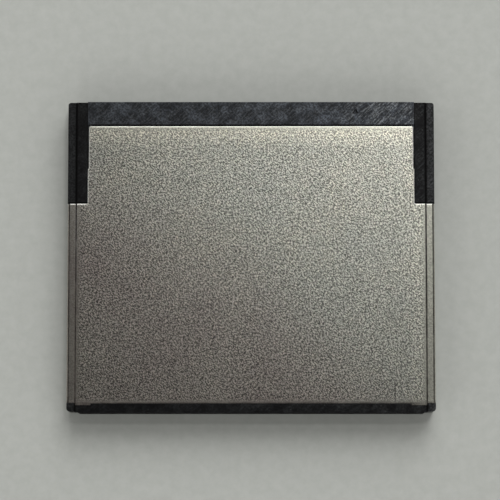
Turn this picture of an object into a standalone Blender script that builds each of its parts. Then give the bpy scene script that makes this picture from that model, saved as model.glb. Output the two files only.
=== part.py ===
"""A solid-state memory card: a moulded frame between two steel covers, with two keyed slots in its front.

The card lies flat, in metres: +Z up, +Y out of its connector end, +X to the right seen from above.
The origin is under its middle, on the surface that it lies on.
"""

import math

import bmesh
import bpy
from mathutils import Matrix, Vector

# Card envelope
CARD_WIDTH = 0.0428
CARD_LENGTH = 0.0364
CARD_HEIGHT = 0.0036

# Clearance between pieces that touch on the real card
FIT = 0.00003

# Moulded frame
RAIL_WIDTH = 0.001
RAIL_DROP = 0.00015
LEG_WIDTH = 0.00228
LEG_LENGTH = 0.012
LEG_SETBACK = 0.0001
CORNER_SETBACK = 0.00017
NOSE_RADIUS = 0.0003
REAR_RADIUS = 0.00035
FRAME_EDGE_RADIUS = 0.00008
SIDE_WALL = 0.00265
REAR_WALL = 0.0016
LEDGE_WIDTH = 0.00085
LEDGE_CORNER_RADIUS = 0.002
POST_RADIUS = 0.0004
POST_INSET = 0.00015
POST_RISE = 0.0002

# Guide grooves in the sides, of unlike heights so that the card enters one way up
GROOVE_LENGTH = 0.02578
GROOVE_DEPTH = 0.00057
LEFT_GROOVE_HEIGHT = 0.0016
RIGHT_GROOVE_HEIGHT = 0.00101

# Folded steel covers
SHEET = 0.0002
SKIRT_GROOVE_GAP = 0.00015
BEND_RADIUS = 0.00025
JOGGLE_RADIUS = 0.00008
BURR_RADIUS = 0.00006
TONGUE_GAP = 0.0002
TONGUE_SIDE_GAP = 0.00006
TONGUE_NOSE_GAP = 0.00017
TONGUE_NOSE_LENGTH = 0.00503
TONGUE_CORNER_RADIUS = 0.0002
FOOT_RADIUS = 0.00015
REAR_BAR = 0.0011
REAR_BAR_SIDE = 0.0009
REAR_BAR_STRIP = 0.00115
REAR_SIDE_WIDTH = 0.0028
ROLL_RADIUS = 0.00016

# Moulded connector housing
BAND_DEPTH = 0.0027
HOUSING_DEPTH = 0.0068
HOUSING_EDGE_RADIUS = 0.0001
SLOT_DEPTH = 0.0048
SLOT_HEIGHT = 0.00135
SLOT_FLOOR_Z = 0.00105
SLOT_LEAD_IN = 0.0002
KEY_WIDTH = 0.0012
KEY_ROOF = 0.0005
SLOT_END_MARGIN = 0.00137
SLOT_END_WALL = 0.00057
EAR_LENGTH = 0.0018
EAR_REACH = 0.0005
EAR_HEIGHT = 0.0014
EAR_SETBACK = 0.004
MARK_WIDTH = 0.00078
MARK_LENGTH = 0.0006
MARK_DEPTH = 0.0003
MARK_SETBACK = 0.00078
MARK_INSET = 0.00685
ARM_WIDTH = 0.0012
ARM_LENGTH = 0.0018
ARM_HEIGHT = 0.0008
ARM_SIDE_GAP = 0.0002
ARM_REAR_GAP = 0.0004
PEG_RADIUS = 0.0003
PEG_RISE = 0.00025

# Contact springs
PITCH = 0.00127
SIGNAL_CONTACTS = 7
GROUP_PITCHES = 5
CONTACT_WIDTH = 0.0005
CONTACT_THICKNESS = 0.00014
CONTACT_PROUD = 0.00026
CONTACT_TIP_SETBACK = 0.0008
CREST_SETBACK = 0.0017
HEEL_GAP = 0.0004
CREST_RADIUS = 0.0005
HEEL_RADIUS = 0.0006
TAIL_RADIUS = 0.00018
TAIL_RUN = 0.0012
TAIL_STEP = 0.0003
CHANNEL_CLEARANCE = 0.00005
CHANNEL_DEPTH = 0.00055
CHANNEL_LIP = 0.0005
CHANNEL_RELIEF = 0.0001

# Circuit board
BOARD_THICKNESS = 0.0008
BOARD_SIDE_GAP = 0.00006
BOARD_CORNER_RADIUS = 0.0005
SOLDER_GAP = 0.00003

# On the board, a row of parts behind the housing, with memory chips over the rest.
# Headroom is what a part leaves free under its cover.
FLASH_SPACING = 0.0011
FLASH_SIDE_MARGIN = 0.00335
FLASH_REAR_MARGIN = 0.00031
FLASH_HEADROOM = 0.00017
CONTROLLER_SIZE = 0.0085
CONTROLLER_HEADROOM = 0.00027
ROW_FRONT_GAP = 0.00034
CHIP_GAP = 0.0004
PART_GAP = 0.0014
SUBSTRATE_HEIGHT = 0.00026
MOULD_STEP = 0.00018
MOULD_DRAFT = 0.00012
DIMPLE_DEPTH = 0.00006
DIMPLE_INSET_SHARE = 0.14
REGULATOR_SIZE = 0.003
REGULATOR_HEADROOM = 0.00027
INDUCTOR_SIZE = 0.004
INDUCTOR_HEADROOM = 0.00022
INDUCTOR_CORNER = 0.0009
DRUM_SHARE = 0.72
DRUM_GROOVE_WIDTH = 0.00018
DRUM_GROOVE_DEPTH = 0.0003
CRYSTAL_LENGTH = 0.0032
CRYSTAL_WIDTH = 0.0025
CRYSTAL_HEADROOM = 0.00047
CRYSTAL_RIM = 0.00022
CRYSTAL_BASE_SHARE = 0.45
CAPACITOR_LENGTH = 0.002
CAPACITOR_WIDTH = 0.00125
CAPACITOR_HEADROOM = 0.00037
RESISTOR_LENGTH = 0.001
RESISTOR_WIDTH = 0.0005
RESISTOR_HEIGHT = 0.00035
TERMINAL_LENGTH = 0.0003
TERMINAL_PROUD = 0.00003
PART_EDGE_RADIUS = 0.00005
CAPACITOR_GAP = 0.00065
CAPACITOR_FRONT_GAP = 0.000265
RESISTOR_GAP = 0.0007
CAPACITOR_COUNT = 6
RESISTOR_COUNT = 6

# How finely arcs are drawn
ARC_STEPS = 4
ROUND_SIDES = 20

# A cutter runs this far past the face it cuts
OVERRUN = 0.001
# Curve fills merge points closer than 0.03 mm, so outlines are drawn a thousand times larger
DRAWING_SCALE = 1000
WELD_DISTANCE = 1e-7
SAME_PLACE = 1e-6
UPRIGHT = 0.1
CAP_TOLERANCE = 1e-4

# Places that follow from the sizes
HALF_WIDTH = CARD_WIDTH / 2
FRONT_Y = CARD_LENGTH / 2
REAR_Y = -CARD_LENGTH / 2
MIDDLE_Z = CARD_HEIGHT / 2
RAIL_X = HALF_WIDTH - RAIL_WIDTH
RAIL_TOP_Z = CARD_HEIGHT - RAIL_DROP
SKIRT_HEIGHT = RAIL_TOP_Z - MIDDLE_Z - LEFT_GROOVE_HEIGHT / 2 - SKIRT_GROOVE_GAP
LEG_INNER_X = HALF_WIDTH - LEG_WIDTH
LEG_FOOT_Y = FRONT_Y - LEG_LENGTH
BAND_REAR_Y = FRONT_Y - BAND_DEPTH
HOUSING_REAR_Y = FRONT_Y - HOUSING_DEPTH
HOUSING_X = LEG_INNER_X - FIT
POCKET_X = HALF_WIDTH - SIDE_WALL
POCKET_REAR_Y = REAR_Y + REAR_WALL
LEDGE_X = POCKET_X - LEDGE_WIDTH
LEDGE_FRONT_Y = HOUSING_REAR_Y - ARM_LENGTH - ARM_REAR_GAP
LEDGE_REAR_Y = POCKET_REAR_Y + LEDGE_WIDTH
BOARD_BOTTOM_Z = MIDDLE_Z - BOARD_THICKNESS / 2
BOARD_TOP_Z = MIDDLE_Z + BOARD_THICKNESS / 2
LEDGE_TOP_Z = BOARD_BOTTOM_Z - FIT
POST_X = LEDGE_X - POST_INSET
POST_Y = LEDGE_REAR_Y + POST_INSET
BOARD_X = POCKET_X - BOARD_SIDE_GAP
BOARD_SHOULDER_X = LEG_INNER_X - BOARD_SIDE_GAP
BOARD_REAR_Y = POCKET_REAR_Y + BOARD_SIDE_GAP
BOARD_FRONT_Y = HOUSING_REAR_Y - FIT
KEY_HEIGHT = CARD_HEIGHT - KEY_ROOF - SLOT_FLOOR_Z - SLOT_HEIGHT
HEEL_SETBACK = SLOT_DEPTH - HEEL_GAP
CONTACT_REST_Z = SLOT_FLOOR_Z - CHANNEL_DEPTH + CHANNEL_CLEARANCE + CONTACT_THICKNESS / 2
TAIL_END_Y = HOUSING_REAR_Y - 2 * TAIL_STEP - TAIL_RUN
ROW_PITCHES = int(2 * (HOUSING_X - SLOT_END_WALL - SLOT_END_MARGIN) / PITCH)
POWER_CONTACTS = ROW_PITCHES - GROUP_PITCHES - SIGNAL_CONTACTS + 2
ARM_X = HOUSING_X - ARM_SIDE_GAP - ARM_WIDTH / 2
PEG_Y = HOUSING_REAR_Y - ARM_LENGTH / 2
ROW_Y = HOUSING_REAR_Y - ROW_FRONT_GAP - CONTROLLER_SIZE / 2
FLASH_REAR_Y = LEDGE_REAR_Y + FLASH_REAR_MARGIN
FLASH_LENGTH = ROW_Y - CONTROLLER_SIZE / 2 - CHIP_GAP - FLASH_REAR_Y
FLASH_WIDTH = LEDGE_X - FLASH_SIDE_MARGIN - FLASH_SPACING / 2
FLASH_Y = FLASH_REAR_Y + FLASH_LENGTH / 2
CHIP_ROOM = CARD_HEIGHT - SHEET - BOARD_TOP_Z - SOLDER_GAP
FLASH_HEIGHT = CHIP_ROOM - FLASH_HEADROOM
CONTROLLER_HEIGHT = CHIP_ROOM - CONTROLLER_HEADROOM
REGULATOR_HEIGHT = CHIP_ROOM - REGULATOR_HEADROOM
INDUCTOR_HEIGHT = CHIP_ROOM - INDUCTOR_HEADROOM
CRYSTAL_HEIGHT = CHIP_ROOM - CRYSTAL_HEADROOM
CAPACITOR_HEIGHT = CHIP_ROOM - CAPACITOR_HEADROOM
CAPACITOR_SPACING = CAPACITOR_WIDTH + CAPACITOR_GAP
CAPACITOR_FRONT_Y = TAIL_END_Y - CAPACITOR_FRONT_GAP - CAPACITOR_WIDTH / 2
RESISTOR_SPACING = RESISTOR_WIDTH + RESISTOR_GAP


def collection(name):
    """A new collection in the scene."""
    made = bpy.data.collections.new(name)
    bpy.context.scene.collection.children.link(made)
    return made


def clear_scene():
    """Removes what the scene holds at the start."""
    for obj in list(bpy.data.objects):
        bpy.data.objects.remove(obj, do_unlink=True)


def material(name, colour, roughness, metallic=0.0):
    """A Principled material of one linear colour."""
    made = bpy.data.materials.new(name)
    made.use_nodes = True
    shader = made.node_tree.nodes["Principled BSDF"]
    shader.inputs["Base Color"].default_value = (*colour, 1.0)
    shader.inputs["Roughness"].default_value = roughness
    shader.inputs["Metallic"].default_value = metallic
    return made


def rounded(corners, closed=True):
    """Points of a line through (u, v) or (u, v, radius) corners; a corner with a radius becomes an arc."""
    points = []
    last = len(corners) - 1
    for index, (u, v, *rest) in enumerate(corners):
        here = Vector((u, v))
        radius = rest[0] if rest else 0
        if radius <= 0 or (not closed and index in (0, last)):
            points.append(here)
            continue
        before = (Vector(corners[index - 1][:2]) - here).normalized()
        after = (Vector(corners[(index + 1) % len(corners)][:2]) - here).normalized()
        half = before.angle(after) / 2
        centre = here + (before + after).normalized() * radius / math.sin(half)
        start = here + before * radius / math.tan(half) - centre
        sweep = start.angle_signed(here + after * radius / math.tan(half) - centre)
        for step in range(ARC_STEPS + 1):
            turned = start.copy()
            turned.rotate(Matrix.Rotation(-sweep * step / ARC_STEPS, 2))
            points.append(centre + turned)
    return points


def mirrored(corners):
    """Closed outline from its half at +U, in order, and the same half at -U."""
    return corners + [(-u, *rest) for u, *rest in reversed(corners)]


def rectangle(u_low, u_high, v_low, v_high, radius=0.0):
    """Outline of a rectangle with rounded corners."""
    corners = [(u_low, v_low), (u_high, v_low), (u_high, v_high), (u_low, v_high)]
    return [(u, v, radius) for u, v in corners]


def circle(u, v, radius):
    """Outline of a round hole or peg."""
    turns = [2 * math.pi * side / ROUND_SIDES for side in range(ROUND_SIDES)]
    return [(u + radius * math.cos(turn), v + radius * math.sin(turn)) for turn in turns]


def join_cap(shape, height):
    """Makes one face of the triangles that fill a drawn outline at a height."""

    def in_cap(face):
        return all(abs(vertex.co.z - height) < CAP_TOLERANCE for vertex in face.verts)

    bmesh.ops.dissolve_faces(shape, faces=[face for face in shape.faces if in_cap(face)])


def tidy(mesh, cap_height=None):
    """Welds a closed mesh and turns its faces outwards; a drawn outline's caps become one face each."""
    shape = bmesh.new()
    shape.from_mesh(mesh)
    if cap_height is not None:
        bmesh.ops.remove_doubles(shape, verts=shape.verts, dist=WELD_DISTANCE * DRAWING_SCALE)
        join_cap(shape, cap_height)
        join_cap(shape, -cap_height)
    bmesh.ops.remove_doubles(shape, verts=shape.verts, dist=WELD_DISTANCE)
    bmesh.ops.recalc_face_normals(shape, faces=shape.faces)
    shape.to_mesh(mesh)
    shape.free()


# Where an outline's U, its V and its depth point, for a solid that runs along each axis
AXES = {
    "X": Matrix(((0, 0, 1, 0), (1, 0, 0, 0), (0, 1, 0, 0), (0, 0, 0, 1))),
    "Y": Matrix(((1, 0, 0, 0), (0, 0, -1, 0), (0, 1, 0, 0), (0, 0, 0, 1))),
    "Z": Matrix.Identity(4),
}


def prism(name, corners, axis, start, end):
    """Mesh object over an outline, from start to end along an axis.

    The outline lies in XY for a solid along Z, in XZ for one along Y, and in YZ for one along X.
    """
    curve = bpy.data.curves.new(name, "CURVE")
    curve.dimensions = "2D"
    curve.fill_mode = "BOTH"
    curve.extrude = (end - start) / 2 * DRAWING_SCALE
    points = rounded(corners)
    spline = curve.splines.new("POLY")
    spline.points.add(len(points) - 1)
    for point, place in zip(spline.points, points):
        point.co = (*(place * DRAWING_SCALE), 0, 1)
    spline.use_cyclic_u = True
    drawn = bpy.data.objects.new(name, curve)
    bpy.context.scene.collection.objects.link(drawn)
    graph = bpy.context.evaluated_depsgraph_get()
    mesh = bpy.data.meshes.new_from_object(drawn.evaluated_get(graph))
    tidy(mesh, curve.extrude)
    bpy.data.objects.remove(drawn)
    bpy.data.curves.remove(curve)
    shift = Vector([(start + end) / 2 if letter == axis else 0 for letter in "XYZ"])
    mesh.transform(Matrix.Translation(shift) @ AXES[axis] @ Matrix.Scale(1 / DRAWING_SCALE, 4))
    return bpy.data.objects.new(name, mesh)


def gathered(name, solids):
    """One object of several loose solids, which a Boolean then joins or cuts away together."""
    shape = bmesh.new()
    for solid in solids:
        shape.from_mesh(solid.data)
        bpy.data.objects.remove(solid)
    mesh = bpy.data.meshes.new(name)
    shape.to_mesh(mesh)
    shape.free()
    return bpy.data.objects.new(name, mesh)


def combine(target, tool, operation):
    """Puts a Boolean with a hidden tool object on the target."""
    tool.hide_render = True
    tool.display_type = "WIRE"
    bpy.data.collections["cutters"].objects.link(tool)
    modifier = target.modifiers.new(tool.name, "BOOLEAN")
    modifier.operation = operation
    modifier.solver = "EXACT"
    modifier.object = tool


def bake(obj):
    """Turns an object's modifiers into its mesh, so that its edges can be picked."""
    bpy.data.collections["memory_card"].objects.link(obj)
    graph = bpy.context.evaluated_depsgraph_get()
    mesh = bpy.data.meshes.new_from_object(obj.evaluated_get(graph))
    bpy.data.collections["memory_card"].objects.unlink(obj)
    obj.modifiers.clear()
    tidy(mesh)
    obj.data = mesh


def round_edges(obj, radius, chosen, segments=2):
    """Rounds the edges that a test picks from the mesh."""
    shape = bmesh.new()
    shape.from_mesh(obj.data)
    edges = [edge for edge in shape.edges if chosen(edge)]
    bmesh.ops.bevel(
        shape,
        geom=edges,
        offset=radius,
        offset_type="OFFSET",
        segments=segments,
        profile=0.5,
        affect="EDGES",
        clamp_overlap=True,
    )
    shape.to_mesh(obj.data)
    shape.free()


def finish(obj, name, surface, place=(0, 0, 0)):
    """Names a piece, gives it its material and puts it in the card."""
    obj.name = name
    obj.data.name = name
    obj.data.materials.clear()
    obj.data.materials.append(surface)
    obj.location = place
    obj.data.set_sharp_from_angle(angle=math.radians(35))
    bpy.data.collections["memory_card"].objects.link(obj)
    return obj


def contact_places():
    """The X of each signal and of each power contact, with the whole row centred on the card."""
    signal = [PITCH * (index - ROW_PITCHES / 2) for index in range(SIGNAL_CONTACTS)]
    power = [signal[-1] + PITCH * (GROUP_PITCHES + index) for index in range(POWER_CONTACTS)]
    return signal, power


def frame_outline():
    """Right half of the frame's plan, from the rear round the corner and along the leg to the ledge."""
    return [
        (RAIL_X - 2 * CORNER_SETBACK, REAR_Y),
        (RAIL_X - CORNER_SETBACK, REAR_Y + CORNER_SETBACK),
        (HALF_WIDTH, REAR_Y + CORNER_SETBACK, REAR_RADIUS),
        (HALF_WIDTH, FRONT_Y - LEG_SETBACK, NOSE_RADIUS),
        (LEG_INNER_X, FRONT_Y - LEG_SETBACK),
        (LEG_INNER_X, LEDGE_FRONT_Y),
        (LEDGE_X, LEDGE_FRONT_Y),
        (LEDGE_X, LEDGE_REAR_Y, LEDGE_CORNER_RADIUS),
    ]


def card_section():
    """Right half of the card's section across its width: raised middle, lower rails."""
    return [
        (RAIL_X, 0),
        (RAIL_X, RAIL_DROP),
        (HALF_WIDTH + OVERRUN, RAIL_DROP),
        (HALF_WIDTH + OVERRUN, RAIL_TOP_Z),
        (RAIL_X, RAIL_TOP_Z),
        (RAIL_X, CARD_HEIGHT),
    ]


def cover_skin(depth):
    """Right half of a cover's section line, moved in from its outer face by depth."""
    shift = depth * math.tan(math.pi / 8)
    return [
        (RAIL_X - RAIL_DROP / 2 - shift, CARD_HEIGHT - depth, JOGGLE_RADIUS),
        (RAIL_X + RAIL_DROP / 2 - shift, RAIL_TOP_Z - depth, JOGGLE_RADIUS),
        (HALF_WIDTH - depth, RAIL_TOP_Z - depth, BEND_RADIUS - depth),
        (HALF_WIDTH - depth, RAIL_TOP_Z - SKIRT_HEIGHT),
    ]


def cover_outline(grow):
    """Right half of a cover's plan, from its rear edge to the front of its tongue, grown all round."""
    side_x = HALF_WIDTH + 2 * OVERRUN
    step_x = HALF_WIDTH - REAR_SIDE_WIDTH - grow
    tongue_x = LEG_INNER_X - TONGUE_SIDE_GAP + grow
    nose_x = LEG_INNER_X - TONGUE_NOSE_GAP + grow
    front_y = BAND_REAR_Y - TONGUE_GAP + grow
    foot_y = LEG_FOOT_Y - FIT + grow
    return [
        (step_x, REAR_Y + REAR_BAR - grow),
        (step_x, REAR_Y + REAR_BAR_SIDE - grow),
        (RAIL_X + grow, REAR_Y + REAR_BAR_SIDE - grow),
        (RAIL_X + grow, REAR_Y + REAR_BAR_STRIP - grow),
        (side_x, REAR_Y + REAR_BAR_STRIP - grow),
        (side_x, foot_y),
        (tongue_x, foot_y, FOOT_RADIUS),
        (tongue_x, front_y - TONGUE_NOSE_LENGTH),
        (nose_x, front_y - TONGUE_NOSE_LENGTH),
        (nose_x, front_y, TONGUE_CORNER_RADIUS),
    ]


def cover_seat():
    """Right half of the section that the frame gives up to a cover and its clearance."""
    skirt_z = RAIL_TOP_Z - SKIRT_HEIGHT - FIT
    return [
        (HALF_WIDTH + OVERRUN, CARD_HEIGHT + OVERRUN),
        (HALF_WIDTH + OVERRUN, skirt_z),
        (HALF_WIDTH - SHEET - FIT, skirt_z),
        *[corner[:2] for corner in reversed(cover_skin(SHEET + FIT)[:3])],
    ]


def facing(section, upper):
    """A section as drawn for the upper cover, or turned over for the lower one."""
    return section if upper else [(u, CARD_HEIGHT - v, *rest) for u, v, *rest in section]


def cover(name, surface, upper):
    """One folded cover: its bent section run along the card and trimmed to its plan."""
    section = mirrored(cover_skin(0) + list(reversed(cover_skin(SHEET))))
    sheet = prism(name, facing(section, upper), "Y", REAR_Y, FRONT_Y)
    plan = prism(f"{name}_plan", mirrored(cover_outline(0)), "Z", -OVERRUN, CARD_HEIGHT + OVERRUN)
    combine(sheet, plan, "INTERSECT")
    bake(sheet)
    face_z = CARD_HEIGHT if upper else 0
    rolled_y = REAR_Y + REAR_BAR

    def on_face(edge):
        return all(abs(vertex.co.z - face_z) < SAME_PLACE for vertex in edge.verts)

    def is_rear_edge(edge):
        return on_face(edge) and all(abs(vertex.co.y - rolled_y) < SAME_PLACE for vertex in edge.verts)

    def is_cut_edge(edge):
        ahead = all(vertex.co.y > rolled_y + ROLL_RADIUS + SAME_PLACE for vertex in edge.verts)
        return ahead and on_face(edge) and any(abs(face.normal.z) < UPRIGHT for face in edge.link_faces)

    round_edges(sheet, ROLL_RADIUS, is_rear_edge, ARC_STEPS)
    round_edges(sheet, BURR_RADIUS, is_cut_edge)
    return finish(sheet, name, surface)


def guide_grooves():
    """Cutters for the groove in each side, open at the front."""
    cutters = []
    for side, height in ((-1, LEFT_GROOVE_HEIGHT), (1, RIGHT_GROOVE_HEIGHT)):
        ends = sorted((side * (HALF_WIDTH - GROOVE_DEPTH), side * (HALF_WIDTH + OVERRUN)))
        section = rectangle(*ends, MIDDLE_Z - height / 2, MIDDLE_Z + height / 2)
        cutters.append(prism("guide_groove", section, "Y", FRONT_Y - GROOVE_LENGTH, FRONT_Y + OVERRUN))
    return cutters


def ears(name, root_x, grow):
    """The two side ears that hold the housing between the legs, or the sockets for them when grown."""
    rear_y = FRONT_Y - EAR_SETBACK - EAR_LENGTH
    half_height = EAR_HEIGHT / 2 + grow
    solids = []
    for side in (-1, 1):
        ends = sorted((side * root_x, side * (HOUSING_X + EAR_REACH + grow)))
        plan = rectangle(*ends, rear_y - grow, FRONT_Y - EAR_SETBACK + grow)
        solids.append(prism(name, plan, "Z", MIDDLE_Z - half_height, MIDDLE_Z + half_height))
    return gathered(name, solids)


def frame(surface):
    """The moulded frame: a ring with two legs, seats for the covers, guide grooves and a board ledge."""
    ring = prism("frame", mirrored(frame_outline()), "Z", -OVERRUN, CARD_HEIGHT + OVERRUN)
    section = prism("card_section", mirrored(card_section()), "Y", REAR_Y - OVERRUN, FRONT_Y + OVERRUN)
    combine(ring, section, "INTERSECT")
    for label, upper in (("upper", True), ("lower", False)):
        seat = prism(f"{label}_seat", facing(mirrored(cover_seat()), upper), "Y", REAR_Y, FRONT_Y)
        outline = mirrored(cover_outline(FIT))
        plan = prism(f"{label}_seat_plan", outline, "Z", -2 * OVERRUN, CARD_HEIGHT + 2 * OVERRUN)
        combine(seat, plan, "INTERSECT")
        bake(seat)
        combine(ring, seat, "DIFFERENCE")
    pocket_plan = rectangle(-POCKET_X, POCKET_X, POCKET_REAR_Y, LEDGE_FRONT_Y + OVERRUN)
    pocket = prism("board_pocket", pocket_plan, "Z", LEDGE_TOP_Z, CARD_HEIGHT + OVERRUN)
    combine(ring, pocket, "DIFFERENCE")
    combine(ring, gathered("guide_grooves", guide_grooves()), "DIFFERENCE")
    combine(ring, ears("ear_sockets", LEG_INNER_X - OVERRUN, FIT), "DIFFERENCE")
    posts = locating_pins("posts", POST_X, POST_Y, POST_RADIUS, POST_RISE)
    combine(ring, posts, "UNION")
    bake(ring)

    def is_outer_edge(edge):
        at_side = all(abs(abs(vertex.co.x) - HALF_WIDTH) < SAME_PLACE for vertex in edge.verts)
        at_rear = all(abs(vertex.co.y - REAR_Y) < SAME_PLACE for vertex in edge.verts)
        heights = [vertex.co.z for vertex in edge.verts]
        side_z = all(min(abs(z - RAIL_TOP_Z), abs(z - RAIL_DROP)) < SAME_PLACE for z in heights)
        rear_z = all(min(abs(z - CARD_HEIGHT), abs(z)) < SAME_PLACE for z in heights)
        return (at_side and side_z) or (at_rear and rear_z)

    round_edges(ring, FRAME_EDGE_RADIUS, is_outer_edge)
    return finish(ring, "frame", surface)


def housing_section():
    """The housing's section along the card: a full-height band, then a body that goes under the covers."""
    body_top = CARD_HEIGHT - SHEET - FIT
    body_bottom = SHEET + FIT
    return [
        (FRONT_Y, 0, HOUSING_EDGE_RADIUS),
        (FRONT_Y, CARD_HEIGHT, HOUSING_EDGE_RADIUS),
        (BAND_REAR_Y, CARD_HEIGHT),
        (BAND_REAR_Y, body_top),
        (HOUSING_REAR_Y, body_top),
        (HOUSING_REAR_Y, body_bottom),
        (BAND_REAR_Y, body_bottom),
        (BAND_REAR_Y, 0),
    ]


def slot_section(group):
    """An L-shaped slot over a group of contacts, with its key at the end towards +X."""
    low_x = group[0] - SLOT_END_MARGIN
    high_x = group[-1] + SLOT_END_MARGIN
    roof_z = SLOT_FLOOR_Z + SLOT_HEIGHT
    return [
        (low_x, SLOT_FLOOR_Z),
        (high_x, SLOT_FLOOR_Z),
        (high_x, roof_z + KEY_HEIGHT),
        (high_x - KEY_WIDTH, roof_z + KEY_HEIGHT),
        (high_x - KEY_WIDTH, roof_z),
        (low_x, roof_z),
    ]


def channel_section():
    """A contact's channel along the card: open to the slot, then a passage out through the rear wall."""
    floor_z = SLOT_FLOOR_Z - CHANNEL_DEPTH
    roof_z = CONTACT_REST_Z + CONTACT_THICKNESS / 2 + CHANNEL_CLEARANCE
    open_z = SLOT_FLOOR_Z + CHANNEL_RELIEF
    wall_y = FRONT_Y - SLOT_DEPTH - CHANNEL_RELIEF
    return [
        (HOUSING_REAR_Y - OVERRUN, floor_z),
        (FRONT_Y - CHANNEL_LIP, floor_z),
        (FRONT_Y - CHANNEL_LIP, open_z),
        (wall_y, open_z),
        (wall_y, roof_z),
        (HOUSING_REAR_Y - OVERRUN, roof_z),
    ]


def board_arms():
    """The two arms behind the housing that the board lies on."""
    rear_y = HOUSING_REAR_Y - ARM_LENGTH
    solids = []
    for side in (-1, 1):
        x = side * ARM_X
        plan = rectangle(x - ARM_WIDTH / 2, x + ARM_WIDTH / 2, rear_y, HOUSING_REAR_Y + OVERRUN)
        solids.append(prism("arm", plan, "Z", LEDGE_TOP_Z - ARM_HEIGHT, LEDGE_TOP_Z))
    return gathered("board_arms", solids)


def locating_pins(name, x, y, radius, rise):
    """A pair of round pins, one each side, that stand through the board's holes."""
    low, high = LEDGE_TOP_Z - rise, BOARD_TOP_Z + rise
    return gathered(name, [prism(name, circle(side * x, y, radius), "Z", low, high) for side in (-1, 1)])


def mould_mark():
    """Cutter for the small triangular recess in the upper face of the front band."""
    x = HOUSING_X - MARK_INSET
    apex_y = FRONT_Y - MARK_SETBACK
    base_y = apex_y - MARK_LENGTH
    plan = [(x - MARK_WIDTH / 2, base_y), (x + MARK_WIDTH / 2, base_y), (x, apex_y)]
    return prism("mould_mark", plan, "Z", CARD_HEIGHT - MARK_DEPTH, CARD_HEIGHT + OVERRUN)


def connector_housing(surface):
    """The moulded block with both keyed slots, a channel for each contact, side ears and board arms."""
    block = prism("connector_housing", housing_section(), "X", -HOUSING_X, HOUSING_X)
    combine(block, ears("ears", HOUSING_X - OVERRUN, 0), "UNION")
    combine(block, board_arms(), "UNION")
    combine(block, locating_pins("pegs", ARM_X, PEG_Y, PEG_RADIUS, PEG_RISE), "UNION")
    groups = contact_places()
    slot_y = FRONT_Y - SLOT_DEPTH
    slots = [prism("slot", slot_section(group), "Y", slot_y, FRONT_Y + OVERRUN) for group in groups]
    combine(block, gathered("slots", slots), "DIFFERENCE")
    half = CONTACT_WIDTH / 2 + CHANNEL_CLEARANCE
    centres = [x for group in groups for x in group]
    channels = [prism("channel", channel_section(), "X", x - half, x + half) for x in centres]
    combine(block, gathered("channels", channels), "DIFFERENCE")
    combine(block, mould_mark(), "DIFFERENCE")
    bake(block)
    low_x = groups[0][0] - SLOT_END_MARGIN - SAME_PLACE
    high_x = groups[1][-1] + SLOT_END_MARGIN + SAME_PLACE

    def is_slot_mouth(edge):
        places = [vertex.co for vertex in edge.verts]
        at_front = all(abs(place.y - FRONT_Y) < SAME_PLACE for place in places)
        inside = all(low_x < place.x < high_x and SHEET < place.z < CARD_HEIGHT - SHEET for place in places)
        return at_front and inside

    round_edges(block, SLOT_LEAD_IN, is_slot_mouth, 1)
    return finish(block, "connector_housing", surface)


def contact_path():
    """The middle line of a contact along the card, from its tip over its crest to its soldered tail."""
    bend_y = HOUSING_REAR_Y - TAIL_STEP
    tail_z = BOARD_BOTTOM_Z - SOLDER_GAP - CONTACT_THICKNESS / 2
    return [
        (FRONT_Y - CONTACT_TIP_SETBACK, CONTACT_REST_Z),
        (FRONT_Y - CREST_SETBACK, SLOT_FLOOR_Z + CONTACT_PROUD, CREST_RADIUS),
        (FRONT_Y - HEEL_SETBACK, CONTACT_REST_Z, HEEL_RADIUS),
        (bend_y, CONTACT_REST_Z, TAIL_RADIUS),
        (bend_y - TAIL_STEP, tail_z, TAIL_RADIUS),
        (bend_y - TAIL_STEP - TAIL_RUN, tail_z),
    ]


def contact_mesh():
    """The bent strip that every contact shares, as an open sheet across X."""
    shape = bmesh.new()
    path = rounded(contact_path(), closed=False)
    line = [shape.verts.new((-CONTACT_WIDTH / 2, y, z)) for y, z in path]
    edges = [shape.edges.new(pair) for pair in zip(line, line[1:])]
    swept = bmesh.ops.extrude_edge_only(shape, edges=edges)
    moved = [item for item in swept["geom"] if isinstance(item, bmesh.types.BMVert)]
    bmesh.ops.translate(shape, vec=(CONTACT_WIDTH, 0, 0), verts=moved)
    mesh = bpy.data.meshes.new("contact")
    shape.to_mesh(mesh)
    shape.free()
    return mesh


def contacts(surface):
    """All contacts: one bent strip of sheet, repeated at the pitch of each group."""
    mesh = contact_mesh()
    for label, group in zip(("signal", "power"), contact_places()):
        for number, x in enumerate(group, start=1):
            contact = bpy.data.objects.new("contact", mesh.copy())
            thickness = contact.modifiers.new("thickness", "SOLIDIFY")
            thickness.thickness = CONTACT_THICKNESS
            thickness.offset = 0
            thickness.use_even_offset = True
            finish(contact, f"{label}_contact_{number}", surface, (x, 0, 0))


def circuit_board(surface):
    """The board, with holes for the housing's pegs and the frame's posts."""
    half = [
        (BOARD_X, BOARD_REAR_Y, BOARD_CORNER_RADIUS),
        (BOARD_X, LEDGE_FRONT_Y + BOARD_SIDE_GAP),
        (BOARD_SHOULDER_X, LEDGE_FRONT_Y + BOARD_SIDE_GAP),
        (BOARD_SHOULDER_X, BOARD_FRONT_Y, BOARD_CORNER_RADIUS),
    ]
    board = prism("circuit_board", mirrored(half), "Z", BOARD_BOTTOM_Z, BOARD_TOP_Z)
    holes = []
    for side in (-1, 1):
        peg_hole = circle(side * ARM_X, PEG_Y, PEG_RADIUS + FIT)
        post_hole = circle(side * POST_X, POST_Y, POST_RADIUS + FIT)
        holes += [prism("hole", hole, "Z", -OVERRUN, CARD_HEIGHT) for hole in (peg_hole, post_hole)]
    combine(board, gathered("board_holes", holes), "DIFFERENCE")
    bake(board)
    return finish(board, "circuit_board", surface)


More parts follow.
